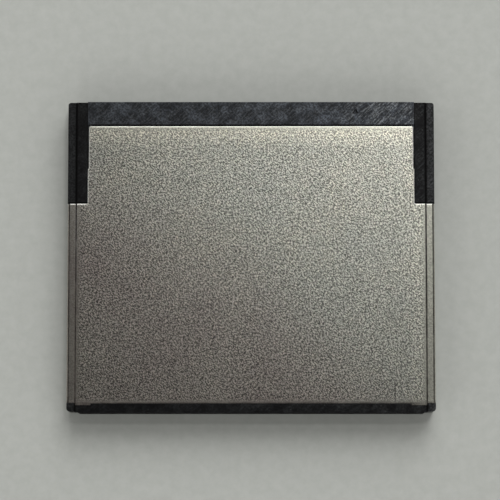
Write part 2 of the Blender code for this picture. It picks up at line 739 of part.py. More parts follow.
def block(name, width, length, low, high, radius=0.0):
    """A block on the board's own XY centre, with rounded upright edges."""
    return prism(name, rectangle(-width / 2, width / 2, -length / 2, length / 2, radius), "Z", low, high)


def package(name, width, length, height):
    """A chip package: a flat substrate, a drafted mould cap on it, and a dimple that marks pin one."""
    chip = block(name, width, length, 0, SUBSTRATE_HEIGHT)
    shape = bmesh.new()
    shape.from_mesh(chip.data)
    top = max(shape.faces, key=lambda face: face.calc_center_median().z)
    bmesh.ops.inset_region(shape, faces=[top], thickness=MOULD_STEP)
    cap = bmesh.ops.extrude_discrete_faces(shape, faces=[top])["faces"][0]
    corners = list(cap.verts)
    bmesh.ops.translate(shape, vec=(0, 0, height - SUBSTRATE_HEIGHT), verts=corners)
    draft = Vector((1 - 2 * MOULD_DRAFT / width, 1 - 2 * MOULD_DRAFT / length, 1))
    bmesh.ops.scale(shape, vec=draft, verts=corners)
    shape.to_mesh(chip.data)
    shape.free()
    inset = min(width, length) * DIMPLE_INSET_SHARE
    mark = circle(-width / 2 + inset, length / 2 - inset, inset / 3)
    combine(chip, prism("dimple", mark, "Z", height - DIMPLE_DEPTH, height + OVERRUN), "DIFFERENCE")
    bake(chip)
    return chip


def chip_part(name, length, width, height):
    """A two-ended ceramic part, whose plated ends stand a little proud of its body all round."""
    neck = length / 2 - TERMINAL_LENGTH
    section = mirrored(
        [
            (neck, TERMINAL_PROUD),
            (neck, 0),
            (length / 2, 0, PART_EDGE_RADIUS),
            (length / 2, height, PART_EDGE_RADIUS),
            (neck, height),
            (neck, height - TERMINAL_PROUD),
        ]
    )
    side = width / 2
    plan = mirrored(
        [
            (neck, -side + TERMINAL_PROUD),
            (neck, -side),
            (length / 2, -side, PART_EDGE_RADIUS),
            (length / 2, side, PART_EDGE_RADIUS),
            (neck, side),
            (neck, side - TERMINAL_PROUD),
        ]
    )
    part = prism(name, section, "Y", -width, width)
    combine(part, prism(f"{name}_plan", plan, "Z", -height, 2 * height), "INTERSECT")
    bake(part)
    return part


def power_inductor():
    """A shielded inductor: a ferrite block with cut corners and a round groove about its drum."""
    half = INDUCTOR_SIZE / 2
    cut = half - INDUCTOR_CORNER
    plan = mirrored([(cut, -half), (half, -cut), (half, cut), (cut, half)])
    body = prism("power_inductor", plan, "Z", 0, INDUCTOR_HEIGHT)
    drum_radius = half * DRUM_SHARE
    floor_z = INDUCTOR_HEIGHT - DRUM_GROOVE_DEPTH
    over_z = INDUCTOR_HEIGHT + OVERRUN
    groove = prism("drum_groove", circle(0, 0, drum_radius + DRUM_GROOVE_WIDTH), "Z", floor_z, over_z)
    core = prism("drum_core", circle(0, 0, drum_radius), "Z", floor_z - OVERRUN, over_z + OVERRUN)
    combine(groove, core, "DIFFERENCE")
    bake(groove)
    combine(body, groove, "DIFFERENCE")
    bake(body)
    return body


def crystal_oscillator():
    """A crystal: a ceramic base with a seam-welded metal lid."""
    base_height = CRYSTAL_HEIGHT * CRYSTAL_BASE_SHARE
    base = block("crystal_oscillator", CRYSTAL_LENGTH, CRYSTAL_WIDTH, 0, base_height, CRYSTAL_RIM)
    lid_size = (CRYSTAL_LENGTH - 2 * CRYSTAL_RIM, CRYSTAL_WIDTH - 2 * CRYSTAL_RIM)
    lid = block("crystal_lid", *lid_size, base_height / 2, CRYSTAL_HEIGHT, CRYSTAL_RIM)
    combine(base, lid, "UNION")
    bake(base)
    return base


def on_board(part, name, surface, x, y, top=True):
    """Puts a part, which stands on its own XY plane, on the board's top or hangs it under its bottom."""
    z = BOARD_TOP_Z + SOLDER_GAP if top else BOARD_BOTTOM_Z - SOLDER_GAP
    piece = finish(part, name, surface, (x, y, z))
    piece.rotation_euler = (0, 0 if top else math.pi, 0)


def row_places():
    """The X of each kind of part in the row behind the housing, which is centred on the card."""
    row = [
        ("capacitor", CAPACITOR_LENGTH, CHIP_GAP),
        ("controller", CONTROLLER_SIZE, PART_GAP),
        ("crystal", CRYSTAL_LENGTH, PART_GAP),
        ("regulator", REGULATOR_SIZE, PART_GAP),
        ("inductor", INDUCTOR_SIZE, CHIP_GAP),
        ("resistor", RESISTOR_LENGTH, 0),
    ]
    left_x = -sum(width + gap for _, width, gap in row) / 2
    places = {}
    for label, width, gap in row:
        places[label] = left_x + width / 2
        left_x += width + gap
    return places


def chips(surface):
    """The controller, the memory chips on both faces and the voltage regulator."""
    places = row_places()
    flash_x = (FLASH_SPACING + FLASH_WIDTH) / 2
    for number, (side, top) in enumerate(((-1, True), (1, True), (-1, False), (1, False)), start=1):
        chip = package("flash", FLASH_WIDTH, FLASH_LENGTH, FLASH_HEIGHT)
        on_board(chip, f"flash_chip_{number}", surface, side * flash_x, FLASH_Y, top)
    controller = package("controller", CONTROLLER_SIZE, CONTROLLER_SIZE, CONTROLLER_HEIGHT)
    on_board(controller, "controller_chip", surface, places["controller"], ROW_Y)
    regulator = package("regulator", REGULATOR_SIZE, REGULATOR_SIZE, REGULATOR_HEIGHT)
    on_board(regulator, "voltage_regulator", surface, places["regulator"], ROW_Y)


def small_parts(surfaces):
    """The inductor, the crystal, and rows of capacitors and resistors on both faces."""
    places = row_places()
    on_board(power_inductor(), "power_inductor", surfaces["ferrite"], places["inductor"], ROW_Y)
    on_board(crystal_oscillator(), "crystal_oscillator", surfaces["can"], places["crystal"], ROW_Y)
    for number in range(CAPACITOR_COUNT):
        row, top = number // 2, number % 2 == 0
        capacitor = chip_part("capacitor", CAPACITOR_LENGTH, CAPACITOR_WIDTH, CAPACITOR_HEIGHT)
        y = CAPACITOR_FRONT_Y - row * CAPACITOR_SPACING
        on_board(capacitor, f"capacitor_{number + 1}", surfaces["ceramic"], places["capacitor"], y, top)
    for number in range(RESISTOR_COUNT):
        row, top = number // 2, number % 2 == 0
        resistor = chip_part("resistor", RESISTOR_LENGTH, RESISTOR_WIDTH, RESISTOR_HEIGHT)
        y = ROW_Y + (row - 1) * RESISTOR_SPACING
        on_board(resistor, f"resistor_{number + 1}", surfaces["film"], places["resistor"], y, top)


def main():
    """Builds the card piece by piece."""
    clear_scene()
    collection("memory_card")
    collection("cutters")
    moulding = material("frame_plastic", (0.010, 0.010, 0.012), 0.5)
    block_plastic = material("housing_plastic", (0.030, 0.033, 0.037), 0.55)
    steel = material("cover_steel", (0.36, 0.35, 0.31), 0.45, 1.0)
    gold = material("contact_gold", (0.80, 0.52, 0.20), 0.25, 1.0)
    laminate = material("board_laminate", (0.010, 0.085, 0.035), 0.5)
    epoxy = material("chip_epoxy", (0.012, 0.012, 0.013), 0.55)
    surfaces = {
        "ferrite": material("inductor_ferrite", (0.055, 0.055, 0.058), 0.7),
        "can": material("crystal_can", (0.70, 0.68, 0.62), 0.3, 1.0),
        "ceramic": material("capacitor_ceramic", (0.33, 0.22, 0.13), 0.5),
        "film": material("resistor_film", (0.020, 0.022, 0.026), 0.4),
    }
    frame(moulding)
    connector_housing(block_plastic)
    cover("upper_cover", steel, True)
    cover("lower_cover", steel, False)
    contacts(gold)
    circuit_board(laminate)
    chips(epoxy)
    small_parts(surfaces)


main()
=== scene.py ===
"""The looks of a solid-state memory card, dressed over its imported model.

The card lies flat on a pale table, in metres: +Z up, +Y out of its connector end, +X to the right seen
from above. The camera looks down on it from just behind its rear edge, as in the photograph.
"""

import logging
import math
from dataclasses import asdict, dataclass, field, fields
from enum import Enum
from typing import ClassVar

import bpy
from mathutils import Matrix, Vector

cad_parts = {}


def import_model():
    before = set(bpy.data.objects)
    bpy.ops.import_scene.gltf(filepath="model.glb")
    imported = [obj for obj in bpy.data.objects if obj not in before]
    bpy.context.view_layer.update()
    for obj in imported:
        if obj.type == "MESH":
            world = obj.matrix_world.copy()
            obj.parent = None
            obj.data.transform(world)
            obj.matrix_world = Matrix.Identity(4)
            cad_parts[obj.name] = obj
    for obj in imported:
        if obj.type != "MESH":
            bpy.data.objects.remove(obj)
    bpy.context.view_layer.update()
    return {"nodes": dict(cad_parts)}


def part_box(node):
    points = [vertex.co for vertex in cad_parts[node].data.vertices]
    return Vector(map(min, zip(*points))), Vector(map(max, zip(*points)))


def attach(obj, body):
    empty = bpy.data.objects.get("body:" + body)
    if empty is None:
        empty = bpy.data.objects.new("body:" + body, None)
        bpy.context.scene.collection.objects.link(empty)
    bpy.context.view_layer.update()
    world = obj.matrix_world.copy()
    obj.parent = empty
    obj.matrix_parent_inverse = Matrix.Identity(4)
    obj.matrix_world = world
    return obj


LOG = logging.getLogger("memory_card")

Triple = tuple[float, float, float]
Colour = Triple
Socket = bpy.types.NodeSocket
Feed = Socket | float | int | bool | tuple
Nodes = dict[str, bpy.types.Object]


class Slot(Enum):
    """The record's material slots."""

    FRAME = "frame_plastic"
    HOUSING = "housing_plastic"
    COVER = "cover_steel"
    CONTACT = "contact_gold"
    BOARD = "board_laminate"
    CHIP = "chip_epoxy"
    INDUCTOR = "inductor_ferrite"
    CRYSTAL = "crystal_can"
    CAPACITOR = "capacitor_ceramic"
    RESISTOR = "resistor_film"


class Effect(Enum):
    """The surface effects that several finishes share, each one shader node group."""

    BLOTCHES = "blotches"
    PEBBLES = "pebbles"
    SPECKS = "specks"
    SCUFFS = "scuffs"
    SOFT_EDGES = "soft_edges"
    LINE = "line"


class TreeKind(Enum):
    """The kinds of node group."""

    SHADER = "ShaderNodeTree"
    GEOMETRY = "GeometryNodeTree"


class SocketKind(Enum):
    """The kinds of input and output that a node group has here."""

    NUMBER = "NodeSocketFloat"
    COUNT = "NodeSocketInt"
    VECTOR = "NodeSocketVector"
    SHAPE = "NodeSocketGeometry"
    FINISH = "NodeSocketMaterial"


@dataclass(frozen=True)
class Fade:
    """A smooth change of a result between two places, from its first value to its last."""

    start: float
    end: float
    first: float = 0.0
    last: float = 1.0


@dataclass(frozen=True)
class Look:
    """The sizes and shares that an effect is placed with."""

    effect: ClassVar[Effect]


@dataclass(frozen=True)
class Blotches(Look):
    """Soft blotches: their size, the share of the surface that they cover and their borders' softness."""

    effect: ClassVar[Effect] = Effect.BLOTCHES
    size: float
    share: float
    softness: float


@dataclass(frozen=True)
class Pebbles(Look):
    """A worm-like grain: its size, how it is drawn out, which way it runs and its contrast."""

    effect: ClassVar[Effect] = Effect.PEBBLES
    size: float
    stretch: float = 0.6
    angle: float = 0.75
    contrast: float = 0.22


@dataclass(frozen=True)
class Specks(Look):
    """Scattered dots: the size of their cells, their radius in a cell and the share of cells with a dot."""

    effect: ClassVar[Effect] = Effect.SPECKS
    size: float
    radius: float
    share: float


@dataclass(frozen=True)
class Scuffs(Look):
    """Fine scuffs: their width, which way they run and the share of the surface that they cover."""

    effect: ClassVar[Effect] = Effect.SCUFFS
    size: float
    angle: float
    share: float


@dataclass(frozen=True)
class SoftEdges(Look):
    """Softened edges: the radius over which the normal turns."""

    effect: ClassVar[Effect] = Effect.SOFT_EDGES
    radius: float


@dataclass(frozen=True)
class Line(Look):
    """A straight line of dirt or shade: its width and the blur along its borders."""

    effect: ClassVar[Effect] = Effect.LINE
    width: float
    blur: float = 0.00006


@dataclass(frozen=True)
class Places:
    """Where the card's faces, steps and seams are."""

    side_x: float
    front_y: float
    rear_y: float
    middle_z: float
    plate_front_y: float
    plate_side_rear_y: float
    rail_width: float = 0.001
    leg_reach: float = 0.0027
    leg_length: float = 0.01196
    half_seam: float = 0.0001
    rear_nick: float = 0.0002

    @classmethod
    def of_card(cls) -> "Places":
        """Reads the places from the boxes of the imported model's nodes.

        Returns:
            The card's places.
        """
        frame_low, frame_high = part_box("frame")
        plate_low, plate_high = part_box("upper_cover")
        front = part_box("connector_housing")[1].y
        middle = (frame_low.z + frame_high.z) / 2
        return cls(frame_high.x, front, frame_low.y, middle, plate_high.y, plate_low.y)

    @property
    def step_x(self) -> float:
        """The step from the raised plate down to the side strip, and from a leg to its rail."""
        return self.side_x - self.rail_width

    @property
    def leg_x(self) -> float:
        """A line just inside the legs, out of which the front seam doesn't run."""
        return self.side_x - self.leg_reach

    @property
    def foot_y(self) -> float:
        """The foot of the legs, where the cover's strips begin."""
        return self.front_y - self.leg_length

    @property
    def seam_y(self) -> float:
        """The seam between the front band and the plate."""
        return self.plate_front_y + self.half_seam

    @property
    def plate_rear_y(self) -> float:
        """The plate's rear edge, a little further forward in the middle than at its sides."""
        return self.plate_side_rear_y + self.rear_nick


class Tree:
    """Places nodes in a node tree and feeds their inputs."""

    def __init__(self, tree: bpy.types.NodeTree) -> None:
        """Starts on an emptied tree.

        Args:
            tree: The node tree of a material, a world or a group.
        """
        self.tree = tree
        tree.nodes.clear()

    def feed(self, socket: Socket, value: Feed) -> None:
        """Links a socket to an input, or sets the input's own value.

        Args:
            socket: The input.
            value: The socket or value that it takes.
        """
        if isinstance(value, Socket):
            self.tree.links.new(value, socket)
        else:
            socket.default_value = value

    def node(
        self, kind: str, feeds: dict[str | int, Feed] | None = None, **settings: object
    ) -> bpy.types.Node:
        """Places one node.

        Args:
            kind: The node's type name.
            feeds: A value or a socket for each input, by the input's name or number.
            settings: The node's own settings.

        Returns:
            The new node.
        """
        made = self.tree.nodes.new(kind)
        for name, value in settings.items():
            setattr(made, name, value)
        for key, value in (feeds or {}).items():
            self.feed(made.inputs[key], value)
        return made

    def maths(self, operation: str, *feeds: Feed) -> Socket:
        """The result of one Math node."""
        return self.node("ShaderNodeMath", dict(enumerate(feeds)), operation=operation).outputs[0]

    def times(self, first: Feed, second: Feed) -> Socket:
        """One value times another."""
        return self.maths("MULTIPLY", first, second)

    def weighed(self, value: Feed, share: float) -> Socket:
        """A value from 0 to 1 pressed together, so that it runs from 1 less the share to 1."""
        return self.maths("MULTIPLY_ADD", value, share, 1.0 - share)

    def ramp(self, value: Feed, low: Feed, high: Feed, start: Feed = 0.0, end: Feed = 1.0) -> Socket:
        """A value spread smoothly, so that low and under becomes start and high and over becomes end."""
        feeds = {0: value, 1: low, 2: high, 3: start, 4: end}
        return self.node("ShaderNodeMapRange", feeds, interpolation_type="SMOOTHSTEP").outputs[0]

    def fade(self, value: Feed, fade: Fade, origin: float = 0.0) -> Socket:
        """The result of a fade whose places are measured from an origin."""
        return self.ramp(value, origin + fade.start, origin + fade.end, fade.first, fade.last)

    def blend(self, share: Feed, first: Feed, second: Feed) -> Socket:
        """A colour between two colours.

        Args:
            share: How much there is of the second colour, from 0 to 1.
            first: The first colour.
            second: The second colour.

        Returns:
            The blended colour.
        """
        colours = [feed if isinstance(feed, Socket) else (*feed, 1.0) for feed in (first, second)]
        feeds = {0: share, 6: colours[0], 7: colours[1]}
        return self.node("ShaderNodeMix", feeds, data_type="RGBA").outputs[2]

    def apart(self, point: Feed) -> bpy.types.NodeOutputs:
        """The X, Y and Z of a point."""
        return self.node("ShaderNodeSeparateXYZ", {0: point}).outputs

    def together(self, x: Feed, y: Feed, z: Feed) -> Socket:
        """A point from its X, Y and Z."""
        return self.node("ShaderNodeCombineXYZ", {0: x, 1: y, 2: z}).outputs[0]

    def scaled(self, vector: Feed, factor: Feed) -> Socket:
        """A vector or a colour times a number."""
        return self.node("ShaderNodeVectorMath", {0: vector, "Scale": factor}, operation="SCALE").outputs[0]

    def stretched(self, vector: Feed, factors: Feed) -> Socket:
        """A vector times its own factor along each axis."""
        return self.node("ShaderNodeVectorMath", {0: vector, 1: factors}, operation="MULTIPLY").outputs[0]

    def turned(self, vector: Feed, angle: Feed) -> Socket:
        """A vector turned about Z."""
        feeds = {"Vector": vector, "Angle": angle}
        return self.node("ShaderNodeVectorRotate", feeds, rotation_type="Z_AXIS").outputs[0]

    def dot(self, first: Feed, second: Feed) -> Socket:
        """How far two directions agree: 1 where they are the same."""
        feeds = {0: first, 1: second}
        return self.node("ShaderNodeVectorMath", feeds, operation="DOT_PRODUCT").outputs["Value"]

    def noise(self, point: Socket, scale: Feed, **values: float) -> Socket:
        """A noise value, which is mostly near 0.5.

        Args:
            point: The point that it is read at.
            scale: How many of its features there are in one unit.
            values: The noise's detail, roughness or distortion.

        Returns:
            The noise.
        """
        feeds = {"Vector": point, "Scale": scale}
        feeds |= {name.capitalize(): value for name, value in values.items()}
        return self.node("ShaderNodeTexNoise", feeds).outputs[0]


class Group(Tree):
    """A node group with named inputs and one output."""

    def __init__(self, name: str, kind: TreeKind, result: SocketKind, **inputs: SocketKind) -> None:
        """Starts the group with its sockets.

        Args:
            name: The group's name.
            kind: Whether it is for shaders or for geometry.
            result: The kind of its output.
            inputs: The name and kind of each input.
        """
        super().__init__(bpy.data.node_groups.new(name, kind.value))
        for label, socket in inputs.items():
            self.tree.interface.new_socket(label.capitalize(), in_out="INPUT", socket_type=socket.value)
        self.tree.interface.new_socket("Result", in_out="OUTPUT", socket_type=result.value)
        self.given = self.node("NodeGroupInput").outputs

    def give(self, result: Socket) -> bpy.types.NodeTree:
        """Feeds the output, and gives the finished group."""
        self.node("NodeGroupOutput", {0: result})
        return self.tree


class Effects:
    """Builds each shared shader node group once."""

    noise_middle: float = 0.5
    noise_crest: float = 0.75
    noise_spread: float = 0.5
    blotch_detail: float = 5.0
    blotch_roughness: float = 0.62
    pebble_waver: float = 0.6
    scuff_detail: float = 3.0
    scuff_roughness: float = 0.6
    scuff_squeeze: Triple = (0.14, 1.0, 1.0)
    scuff_border: Fade = Fade(-0.05, 0.12)
    edge_samples: int = 4

    def __init__(self) -> None:
        """Builds every group."""
        self.groups = {
            Effect.BLOTCHES: self.blotches(),
            Effect.PEBBLES: self.pebbles(),
            Effect.SPECKS: self.specks(),
            Effect.SCUFFS: self.scuffs(),
            Effect.SOFT_EDGES: self.soft_edges(),
            Effect.LINE: self.line(),
        }

    @staticmethod
    def start(look: type[Look], result: SocketKind = SocketKind.NUMBER, **inputs: SocketKind) -> Group:
        """Starts an effect's group, with an input for each size and share of its look, and the others."""
        numbers = {item.name: SocketKind.NUMBER for item in fields(look)}
        return Group(look.effect.value, TreeKind.SHADER, result, **inputs, **numbers)

    def level(self, group: Group) -> Socket:
        """The noise value over which about the share that is asked for lies."""
        return group.maths("MULTIPLY_ADD", group.given["Share"], -self.noise_spread, self.noise_crest)

    def blotches(self) -> bpy.types.NodeTree:
        """Builds soft blotches.

        Returns:
            The group, which gives 1 on the blotches and 0 between them.
        """
        group = self.start(Blotches, point=SocketKind.VECTOR)
        scale = group.maths("DIVIDE", 1.0, group.given["Size"])
        point, softness = group.given["Point"], group.given["Softness"]
        noise = group.noise(point, scale, detail=self.blotch_detail, roughness=self.blotch_roughness)
        level = self.level(group)
        low, high = group.maths("SUBTRACT", level, softness), group.maths("ADD", level, softness)
        return group.give(group.ramp(noise, low, high))

    def pebbles(self) -> bpy.types.NodeTree:
        """Builds the worm-like grain of a textured face.

        Returns:
            The group, which gives 0 in the grain's hollows and 1 on its crests.
        """
        group = self.start(Pebbles, point=SocketKind.VECTOR)
        turned = group.turned(group.given["Point"], group.given["Angle"])
        drawn = group.stretched(turned, group.together(group.given["Stretch"], 1.0, 1.0))
        spread = group.scaled(drawn, group.maths("DIVIDE", 1.0, group.given["Size"]))
        noise = group.noise(spread, 1.0, detail=0.0, distortion=self.pebble_waver)
        low = group.maths("SUBTRACT", self.noise_middle, group.given["Contrast"])
        high = group.maths("ADD", self.noise_middle, group.given["Contrast"])
        return group.give(group.ramp(noise, low, high))

    def specks(self) -> bpy.types.NodeTree:
        """Builds small scattered dots, such as dust and glass ends.

        Returns:
            The group, which gives 1 in the middle of each dot and 0 between the dots.
        """
        group = self.start(Specks, point=SocketKind.VECTOR)
        scale = group.maths("DIVIDE", 1.0, group.given["Size"])
        cells = group.node("ShaderNodeTexVoronoi", {"Vector": group.given["Point"], "Scale": scale})
        chosen = group.maths("LESS_THAN", group.apart(cells.outputs["Color"])[0], group.given["Share"])
        near = group.ramp(cells.outputs["Distance"], 0.0, group.given["Radius"], 1.0, 0.0)
        return group.give(group.times(chosen, near))

    def scuffs(self) -> bpy.types.NodeTree:
        """Builds fine scuffs that run one way.

        Returns:
            The group, which gives 1 on the scuffs and 0 between them.
        """
        group = self.start(Scuffs, point=SocketKind.VECTOR)
        turned = group.turned(group.given["Point"], group.given["Angle"])
        drawn = group.stretched(turned, self.scuff_squeeze)
        scale = group.maths("DIVIDE", 1.0, group.given["Size"])
        noise = group.noise(drawn, scale, detail=self.scuff_detail, roughness=self.scuff_roughness)
        over = group.maths("SUBTRACT", noise, self.level(group))
        return group.give(group.fade(over, self.scuff_border))

    def soft_edges(self) -> bpy.types.NodeTree:
        """Builds a normal that turns gently over each sharp edge, as on a rounded or moulded edge.

        Returns:
            The group, which gives the normal.
        """
        group = self.start(SoftEdges, SocketKind.VECTOR)
        feeds = {"Radius": group.given["Radius"]}
        return group.give(group.node("ShaderNodeBevel", feeds, samples=self.edge_samples).outputs[0])

    def line(self) -> bpy.types.NodeTree:
        """Builds a line at a place on one coordinate.

        Returns:
            The group, which gives 1 within half a width of the place and 0 outside its blur.
        """
        group = self.start(Line, value=SocketKind.NUMBER, place=SocketKind.NUMBER)
        off = group.maths("ABSOLUTE", group.maths("SUBTRACT", group.given["Value"], group.given["Place"]))
        inner = group.times(group.given["Width"], 0.5)
        outer = group.maths("ADD", inner, group.given["Blur"])
        return group.give(group.ramp(off, inner, outer, 1.0, 0.0))


class Skin(Tree):
    """A material's nodes: the surface point, and the shared effects that are placed on it."""

    def __init__(self, tree: bpy.types.NodeTree, effects: Effects) -> None:
        """Starts on a material's emptied tree.

        Args:
            tree: The material's node tree.
            effects: The shared effects.
        """
        super().__init__(tree)
        self.effects = effects
        self.point = self.node("ShaderNodeTexCoord").outputs["Object"]

    @property
    def xyz(self) -> bpy.types.NodeOutputs:
        """The surface point's X, Y and Z, in the card's own metres."""
        return self.apart(self.point)

    def effect(self, look: Look, **feeds: Feed) -> Socket:
        """Places an effect with its own values, on the surface point if it takes one.

        Args:
            look: The effect's sizes and shares.
            feeds: A value or a socket for each other input of the group.

        Returns:
            The effect's output.
        """
        placed = self.node("ShaderNodeGroup", node_tree=self.effects.groups[look.effect])
        if "Point" in placed.inputs:
            feeds["point"] = self.point
        for name, value in (asdict(look) | feeds).items():
            self.feed(placed.inputs[name.capitalize()], value)
        return placed.outputs[0]


@dataclass(frozen=True)
class Finish:
    """A finish, with the record's slot that it is for."""

    edge_turn: ClassVar[Fade] = Fade(0.88, 0.99, 1.0, 0.0)
    slot: Slot | None

    def material(self, effects: Effects) -> bpy.types.Material:
        """Makes the finished material.

        Args:
            effects: The shared effects.

        Returns:
            A material with this finish's nodes.
        """
        name = self.slot.value if self.slot else "stage"
        made = bpy.data.materials.new(f"{name}_finish")
        made.use_nodes = True
        skin = Skin(made.node_tree, effects)
        shader = skin.node("ShaderNodeBsdfPrincipled")
        skin.node("ShaderNodeOutputMaterial", {"Surface": shader.outputs[0]})
        for socket, value in self.surface(skin).items():
            skin.feed(shader.inputs[socket], value)
        return made

    def surface(self, skin: Skin) -> dict[str, Feed]:
        """A value or a socket for each of the shader's inputs that the finish sets."""
        raise NotImplementedError

    @staticmethod
    def relief(skin: Skin, height: Feed, depth: float, normal: Socket | None = None) -> Socket:
        """A normal from a height.

        Args:
            skin: The material's nodes.
            height: The height, from 0 to 1.
            depth: How many metres a height of 1 is.
            normal: The normal that the relief is added to, if it isn't the surface's own.

        Returns:
            The normal.
        """
        feeds = {"Height": height, "Distance": depth, "Strength": 1.0}
        if normal is not None:
            feeds["Normal"] = normal
        return skin.node("ShaderNodeBump", feeds).outputs[0]

    def edge_mask(self, skin: Skin, normal: Socket) -> Socket:
        """A mask of the places where a softened normal leaves the surface's own; the steel's front edges get
        a painted highlight there, and the plastic's edges a painted shade.
        """
        own = skin.node("ShaderNodeNewGeometry").outputs["Normal"]
        return skin.fade(skin.dot(normal, own), self.edge_turn)


@dataclass(frozen=True)
class PebbledSteel(Finish):
    """Stainless sheet with a fine worm-like grain, smooth along its edges, browned and painted darker towards
    its rear left corner, with painted highlights on its front edges, at its front and on its right, and
    painted shade in its step and on its outer bend.
    """

    places: Places
    clean: Colour = (0.664, 0.651, 0.553)
    cool: Colour = (0.552, 0.57, 0.518)
    highlight_tint: Colour = (0.98, 0.955, 0.80)
    brown_and_shade: Colour = (0.468, 0.412, 0.373)
    bright: Colour = (1.0, 0.99, 0.95)
    grime_and_shade: Colour = (0.035, 0.03, 0.028)
    cool_patches: Blotches = Blotches(0.007, 0.6, 0.25)
    cool_share: float = 0.6

    # The grain's height, and its painted shade: a low place darkens and a crest brightens
    grain: Pebbles = Pebbles(0.00012)
    depth: float = 0.000004
    grain_level: float = 0.5
    smooth_level: float = 0.62
    full_grain: Fade = Fade(0.0004, 0.0045, 0.85, 1.0)
    smooth_margin: Fade = Fade(0.0001, 0.0007, 0.25, 1.0)
    hollow: float = 0.44
    shade_power: float = 2.4
    shade_gain: float = 1.25

    # Gloss and painted highlights: on the softened front edges, and in stretches measured from the plate's
    # front edge and its right step
    roughness: float = 0.29
    dirt_and_shade_roughness: float = 0.25
    edges: SoftEdges = SoftEdges(0.00022)
    edge_highlight: Fade = Fade(-0.005, 0.005)
    front_highlight: Fade = Fade(-0.0032, -0.0004, 0.0, 0.6)
    right_highlight: Fade = Fade(-0.003, 0.0002, 0.0, 0.28)

    # The rear left corner, brown tarnish and painted shade together: how its border leans, bends to the right
    # of the middle, and fades
    border_lean: float = 0.55
    border_bend: float = 0.45
    brown_and_shade_corner: Fade = Fade(-0.014, 0.008, 0.9, 0.0)
    brown_and_shade_patches: Blotches = Blotches(0.007, 0.5, 0.3)
    brown_and_shade_patch_share: float = 0.5
    brown_and_shade_least: float = 0.6

    # Painted shade in the step and on the outer bend, a darker rear edge and dirt in a scratch, all a little
    # broken
    step_shade: Line = Line(0.00015)
    bend_shade: Line = Line(0.00012, 0.00005)
    bend_from_step: float = 0.00082
    rear_darkening: Fade = Fade(0.0, 0.0005, 0.85, 0.0)
    scratch: Line = Line(0.00008, 0.0001)
    scratch_x: float = 0.01667
    scratch_end: Fade = Fade(0.0019, 0.0024, 0.7, 0.0)
    broken: Blotches = Blotches(0.0011, 0.75, 0.25)
    broken_share: float = 0.35

    def surface(self, skin: Skin) -> dict[str, Feed]:
        """The sheet's colour, gloss and grain.

        Args:
            skin: The material's nodes.

        Returns:
            What feeds the shader's inputs.
        """
        height = self.height(skin)
        edges = skin.effect(self.edges)
        dirt_and_shade = self.dirt_and_shade(skin)
        shade = self.shade(skin, height)
        colour = skin.scaled(self.tone(skin), shade)
        along = skin.xyz[1]
        # Painted highlight: the softened front edges are lightened towards near white
        edge_mask = skin.times(self.edge_mask(skin, edges), skin.fade(along, self.edge_highlight))
        colour = skin.blend(edge_mask, colour, self.bright)
        return {
            "Base Color": skin.blend(dirt_and_shade, colour, self.grime_and_shade),
            "Roughness": skin.maths("MULTIPLY_ADD", dirt_and_shade, self.dirt_and_shade_roughness, self.roughness),
            "Metallic": 1.0,
            "Normal": self.relief(skin, height, self.depth, edges),
        }

    def height(self, skin: Skin) -> Socket:
        """The grain's height, which is even where the sheet is smooth.

        Args:
            skin: The material's nodes.

        Returns:
            The height, from 0 to 1.
        """
        pebbled = self.pebbled(skin)
        rise = self.grain_level - self.smooth_level
        level = skin.maths("MULTIPLY_ADD", pebbled, rise, self.smooth_level)
        grain = skin.maths("SUBTRACT", skin.effect(self.grain), self.grain_level)
        return skin.maths("MULTIPLY_ADD", grain, pebbled, level)

    def pebbled(self, skin: Skin) -> Socket:
        """How strong the grain is: full over the plate, fading to smooth near its edges.

        Args:
            skin: The material's nodes.

        Returns:
            The strength, from 0 to 1.
        """
        across, along, _ = skin.xyz
        side = skin.maths("SUBTRACT", self.places.step_x, skin.maths("ABSOLUTE", across))
        front = skin.maths("SUBTRACT", self.places.plate_front_y, along)
        rear = skin.maths("SUBTRACT", along, self.places.plate_rear_y)
        inset = skin.maths("MINIMUM", side, skin.maths("MINIMUM", front, rear))
        return skin.times(skin.fade(front, self.full_grain), skin.fade(inset, self.smooth_margin))

    def shade(self, skin: Skin, height: Socket) -> Socket:
        """How much of its colour each place keeps: painted shade in the grain's hollows and a painted
        highlight on its crests.
        """
        lit = skin.maths("MULTIPLY_ADD", height, 1.0 - self.hollow, self.hollow)
        return skin.times(skin.maths("POWER", lit, self.shade_power), self.shade_gain)

    def tone(self, skin: Skin) -> Socket:
        """The sheet's colour: clean or cool, with a painted highlight in front and to the right, browned and
        painted darker behind.

        Args:
            skin: The material's nodes.

        Returns:
            The colour, with no grain or dirt yet.
        """
        across, along, _ = skin.xyz
        front = skin.fade(along, self.front_highlight, self.places.plate_front_y)
        right = skin.fade(across, self.right_highlight, self.places.step_x)
        patches = skin.effect(self.cool_patches)
        colour = skin.blend(skin.times(patches, self.cool_share), self.clean, self.cool)
        # Painted highlight: lighter towards the plate's front edge and its right step
        colour = skin.blend(skin.maths("MAXIMUM", front, right), colour, self.highlight_tint)
        # Brown tarnish and painted shade: darker towards the rear left corner
        return skin.blend(self.brown_and_shade_mask(skin), colour, self.brown_and_shade)

    def brown_and_shade_mask(self, skin: Skin) -> Socket:
        """Where the sheet is browned and painted darker: towards its rear left corner, and in blotches.

        Args:
            skin: The material's nodes.

        Returns:
            How much brown tarnish and painted shade it has, from 0 to 1.
        """
        across, along, _ = skin.xyz
        right = skin.maths("MAXIMUM", across, 0.0)
        lean = skin.maths("MULTIPLY_ADD", across, self.border_lean, along)
        lean = skin.maths("MULTIPLY_ADD", right, self.border_bend, lean)
        patches = skin.effect(self.brown_and_shade_patches)
        patches = skin.maths("MULTIPLY_ADD", patches, self.brown_and_shade_patch_share, self.brown_and_shade_least)
        return skin.times(skin.fade(lean, self.brown_and_shade_corner), patches)

